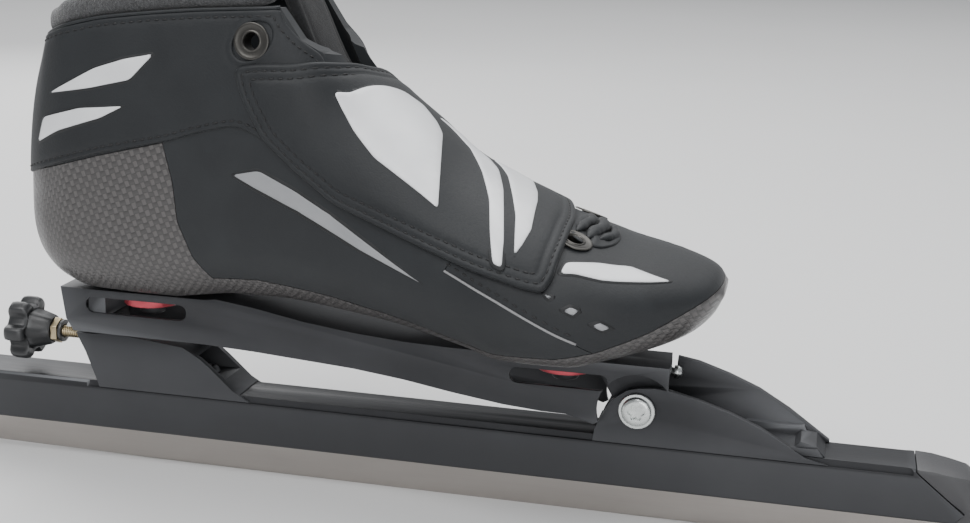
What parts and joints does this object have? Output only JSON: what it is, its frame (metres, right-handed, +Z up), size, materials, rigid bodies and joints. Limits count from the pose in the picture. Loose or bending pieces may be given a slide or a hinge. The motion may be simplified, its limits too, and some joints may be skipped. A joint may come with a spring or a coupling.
{
  "type": "clap speed skate",
  "caption": "Right long-track clap speed skate: low-cut carbon boot on a hinged aluminium bridge, blade tube and steel runner.",
  "frame": {"origin": "middle of the runner's bottom edge", "axes": "+X along the blade to the nose, +Y to the inner side of the foot, +Z up"},
  "size_m": [0.409, 0.0977, 0.194],
  "materials": {
    "runner_steel": "ground and brushed along its length",
    "black_alloy": "black anodised, satin",
    "cap_plastic": "satin moulded",
    "zinc": "bright zinc plate",
    "brass": "satin",
    "rubber": "matte",
    "spring_steel": "oiled",
    "red_alloy": "red anodised, satin",
    "carbon": "clear-coated carbon twill",
    "microfibre": "fine-grained matte microfibre",
    "eyelet_metal": "gunmetal plate",
    "padding": "brushed pile",
    "loop_fabric": "looped pile",
    "knob_plastic": "moulded, slightly shiny"
  },
  "bodies": {
    "chassis": {"runner": "runner_steel", "blade_tube": "black_alloy", "nose_cap": "cap_plastic", "tail_cap": "cap_plastic", "heel_column": "black_alloy", "column_screw_1": "zinc", "column_screw_2": "zinc", "heel_bumper": "rubber", "hinge_tower": "black_alloy", "tower_screw_1": "zinc", "tower_screw_2": "zinc", "hinge_bolt": "zinc", "hinge_nut": "zinc", "clap_spring": "spring_steel"},
    "boot_and_bridge": {"bridge": "black_alloy", "hinge_bushing_outer": "brass", "hinge_bushing_inner": "brass", "stop_screw": "zinc", "latch_strike": "zinc", "mounting_disc_rear": "red_alloy", "mounting_disc_front": "red_alloy", "mounting_bolt_rear": "zinc", "mounting_bolt_front": "zinc", "sole_nut_rear": "brass", "sole_nut_front": "brass", "carbon_sole": "carbon", "toe_box": "microfibre", "quarter_outer": "microfibre", "quarter_inner": "microfibre", "eyelet_outer_top": "eyelet_metal", "eyelet_outer_front": "eyelet_metal", "eyelet_inner_top": "eyelet_metal", "eyelet_inner_front": "eyelet_metal", "collar_pad": "padding", "tongue": "padding", "insole": "padding", "loop_patch": "loop_fabric"},
    "cover": {"closure_cover": "microfibre"},
    "lock_carriage": {"knob_washer": "knob_plastic"},
    "lock_knob": {"star_knob": "knob_plastic", "knob_insert": "brass", "knob_jam_nut": "zinc", "lock_stud": "brass"}
  },
  "joints": [
    {"name": "clap_hinge", "type": "hinge", "parent": "chassis", "child": "boot_and_bridge", "pos_m": [0.078, 0, 0.0442], "axis": [0, 1, 0], "range_deg": [0, 27], "stiffness_Nm_per_rad": 1.2, "springref_deg": -14.32, "deforming": ["clap_spring"]},
    {"name": "cover_hinge", "type": "hinge", "parent": "boot_and_bridge", "child": "cover", "pos_m": [0.01185, 0.018, 0.1358], "axis": [-0.8585, 0, 0.5128], "range_deg": [0, 80]},
    {"name": "lock_travel", "type": "slide", "parent": "chassis", "child": "lock_carriage", "axis": [1, 0, 0], "range_m": [-0.0016, 0.0016]},
    {"name": "lock_turn", "type": "hinge", "parent": "lock_carriage", "child": "lock_knob", "pos_m": [-0.165, 0, 0.0492], "axis": [1, 0, 0], "range_deg": [-720, 720]}
  ],
  "couplings": [
    {"joint": "lock_turn", "follows": "lock_travel", "rad_per_m": 7854}
  ]
}
